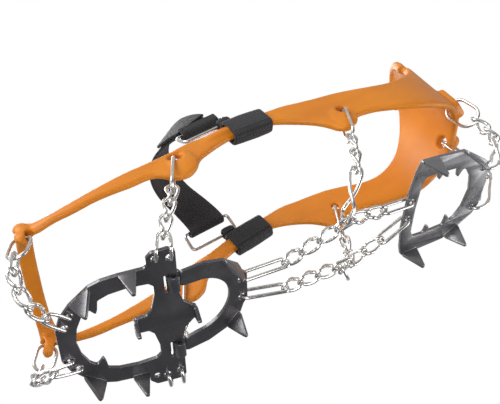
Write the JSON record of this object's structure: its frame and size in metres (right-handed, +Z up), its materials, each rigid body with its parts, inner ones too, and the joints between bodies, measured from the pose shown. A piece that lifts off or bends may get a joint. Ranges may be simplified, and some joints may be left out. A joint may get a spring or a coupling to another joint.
{
  "type": "shoe ice cleats",
  "caption": "Slip-on ice cleats for a boot: a rubber harness ring with an instep strap, hung with chains that carry toothed steel plates under the sole.",
  "frame": {"origin": "on the plane of the heel's sole (the upper face of the heel plate), on the boot's centre line and 3 mm forward of the hinge between the front plate and the horseshoe plate", "axes": "+X from toe to heel, +Y to the side away from the viewer, +Z up from the sole into the boot"},
  "size_m": [0.2991, 0.1112, 0.1359],
  "materials": {
    "plate_steel": "dark satin coat, teeth nearly black",
    "chain_steel": "bright polished wire",
    "orange_rubber": "smooth moulded, slight sheen",
    "black_webbing": "woven webbing"
  },
  "bodies": {
    "rear": {"harness_rear": "orange_rubber", "horseshoe_plate": "plate_steel", "heel_plate": "plate_steel", "harness_band_near": "orange_rubber", "sleeve_near": "black_webbing", "sole_front_link_near": "chain_steel", "sole_front_run_near": "chain_steel", "sole_rear_run_near": "chain_steel", "sole_rear_link_near": "chain_steel", "harness_band_far": "orange_rubber", "sleeve_far": "black_webbing", "sole_front_link_far": "chain_steel", "sole_front_run_far": "chain_steel", "sole_rear_run_far": "chain_steel", "sole_rear_link_far": "chain_steel"},
    "front": {"front_plate": "plate_steel", "harness_front": "orange_rubber", "fore_staple_near": "chain_steel", "fore_staple_far": "chain_steel"},
    "fore_chain_near": {"fore_ring_near": "chain_steel", "fore_link_1_near": "chain_steel", "fore_link_2_near": "chain_steel", "fore_link_3_near": "chain_steel"},
    "toe_chain_near": {"toe_ring_near": "chain_steel", "toe_link_1_near": "chain_steel", "toe_link_2_near": "chain_steel"},
    "toe_end_near": {"toe_link_3_near": "chain_steel", "toe_link_4_near": "chain_steel", "toe_staple_near": "chain_steel"},
    "mid_chain_near": {"mid_ring_near": "chain_steel", "mid_link_1_near": "chain_steel", "mid_link_2_near": "chain_steel"},
    "mid_end_near": {"mid_long_link_near": "chain_steel"},
    "heel_chain_near": {"heel_ring_near": "chain_steel", "heel_link_1_near": "chain_steel", "heel_link_2_near": "chain_steel"},
    "heel_end_near": {"heel_end_link_near": "chain_steel"},
    "fore_chain_far": {"fore_ring_far": "chain_steel", "fore_link_1_far": "chain_steel", "fore_link_2_far": "chain_steel", "fore_link_3_far": "chain_steel"},
    "toe_chain_far": {"toe_ring_far": "chain_steel", "toe_link_1_far": "chain_steel", "toe_link_2_far": "chain_steel"},
    "toe_end_far": {"toe_link_3_far": "chain_steel", "toe_link_4_far": "chain_steel", "toe_staple_far": "chain_steel"},
    "mid_chain_far": {"mid_ring_far": "chain_steel", "mid_link_1_far": "chain_steel", "mid_link_2_far": "chain_steel"},
    "mid_end_far": {"mid_long_link_far": "chain_steel"},
    "heel_chain_far": {"heel_ring_far": "chain_steel", "heel_link_1_far": "chain_steel", "heel_link_2_far": "chain_steel"},
    "heel_end_far": {"heel_end_link_far": "chain_steel"},
    "strap": {"strap_ring_near": "chain_steel", "strap_ring_far": "chain_steel", "instep_strap": "black_webbing"},
    "tail": {"strap_tail": "black_webbing"}
  },
  "joints": [
    {"name": "toe_flex", "type": "hinge", "parent": "rear", "child": "front", "pos_m": [0.003, 0, 0.0027], "axis": [0, 1, 0], "range_deg": [0, 25], "deforming": ["harness_band_near", "harness_band_far"]},
    {"name": "fore_chain_swing_near", "type": "hinge", "parent": "rear", "child": "fore_chain_near", "pos_m": [0.034, -0.047, 0.0602], "axis": [0, 1, 0], "range_deg": [-4, 0]},
    {"name": "toe_chain_swing_near", "type": "hinge", "parent": "front", "child": "toe_chain_near", "pos_m": [-0.0537, -0.0425, 0.0529], "axis": [0.5153, 0.8157, -0.2628], "range_deg": [-4, 4]},
    {"name": "toe_end_swing_near", "type": "hinge", "parent": "front", "child": "toe_end_near", "pos_m": [-0.05101, -0.01655, 0.01334], "axis": [-0.3769, 0.0382, -0.9254], "range_deg": [-4.6, 4.6]},
    {"name": "mid_chain_swing_near", "type": "hinge", "parent": "rear", "child": "mid_chain_near", "pos_m": [0.1395, -0.0374, 0.059], "axis": [-0.4909, 0.8401, 0.2307], "range_deg": [-3, 3]},
    {"name": "mid_end_swing_near", "type": "hinge", "parent": "rear", "child": "mid_end_near", "pos_m": [0.10082, -0.0196, -0.0024], "axis": [0.1174, -0.6329, -0.7653], "range_deg": [-4.9, 4.9]},
    {"name": "heel_chain_swing_near", "type": "hinge", "parent": "rear", "child": "heel_chain_near", "pos_m": [0.217, -0.0146, 0.0546], "axis": [-0.9948, -0.0853, -0.0559], "range_deg": [-3, 3]},
    {"name": "heel_end_swing_near", "type": "hinge", "parent": "rear", "child": "heel_end_near", "pos_m": [0.19632, -0.01555, -0.001], "axis": [0.5491, 0.0601, -0.8336], "range_deg": [-4.6, 4.6]},
    {"name": "fore_chain_swing_far", "type": "hinge", "parent": "rear", "child": "fore_chain_far", "pos_m": [0.034, 0.047, 0.0602], "axis": [0, 1, 0], "range_deg": [-4, 0]},
    {"name": "toe_chain_swing_far", "type": "hinge", "parent": "front", "child": "toe_chain_far", "pos_m": [-0.0537, 0.0425, 0.0529], "axis": [0.8071, -0.4904, -0.3289], "range_deg": [-4, 4]},
    {"name": "toe_end_swing_far", "type": "hinge", "parent": "front", "child": "toe_end_far", "pos_m": [-0.05101, 0.01655, 0.01334], "axis": [-0.6494, -0.2309, -0.7246], "range_deg": [-4.9, 4.9]},
    {"name": "mid_chain_swing_far", "type": "hinge", "parent": "rear", "child": "mid_chain_far", "pos_m": [0.1395, 0.0374, 0.059], "axis": [-0.3725, -0.9104, 0.18], "range_deg": [-3, 3]},
    {"name": "mid_end_swing_far", "type": "hinge", "parent": "rear", "child": "mid_end_far", "pos_m": [0.10082, 0.0126, -0.0024], "axis": [-0.0459, 0.6016, -0.7975], "range_deg": [-4.3, 4.3]},
    {"name": "heel_chain_swing_far", "type": "hinge", "parent": "rear", "child": "heel_chain_far", "pos_m": [0.217, 0.0146, 0.0546], "axis": [-0.9985, -0.0025, -0.0543], "range_deg": [-3, 3]},
    {"name": "heel_end_swing_far", "type": "hinge", "parent": "rear", "child": "heel_end_far", "pos_m": [0.19301, 0.01346, -0.001], "axis": [0.5021, -0.0165, -0.8647], "range_deg": [-4.2, 4.2]},
    {"name": "strap_slide", "type": "slide", "parent": "rear", "child": "strap", "axis": [0.9944, 0, 0.1061], "range_m": [0, 0.02]},
    {"name": "tail_peel", "type": "hinge", "parent": "strap", "child": "tail", "pos_m": [0.0615, -0.0347, 0.0956], "axis": [0.9272, 0.0126, 0.3743], "range_deg": [0, 50]}
  ],
  "couplings": [
    {"joint": "fore_chain_swing_near", "follows": "toe_flex", "ratio": -0.13},
    {"joint": "toe_end_swing_near", "follows": "toe_chain_swing_near", "ratio": 1.1103},
    {"joint": "mid_end_swing_near", "follows": "mid_chain_swing_near", "ratio": 1.5771},
    {"joint": "heel_end_swing_near", "follows": "heel_chain_swing_near", "ratio": 1.4702},
    {"joint": "fore_chain_swing_far", "follows": "toe_flex", "ratio": -0.13},
    {"joint": "toe_end_swing_far", "follows": "toe_chain_swing_far", "ratio": 1.1792},
    {"joint": "mid_end_swing_far", "follows": "mid_chain_swing_far", "ratio": 1.3814},
    {"joint": "heel_end_swing_far", "follows": "heel_chain_swing_far", "ratio": 1.3364}
  ]
}
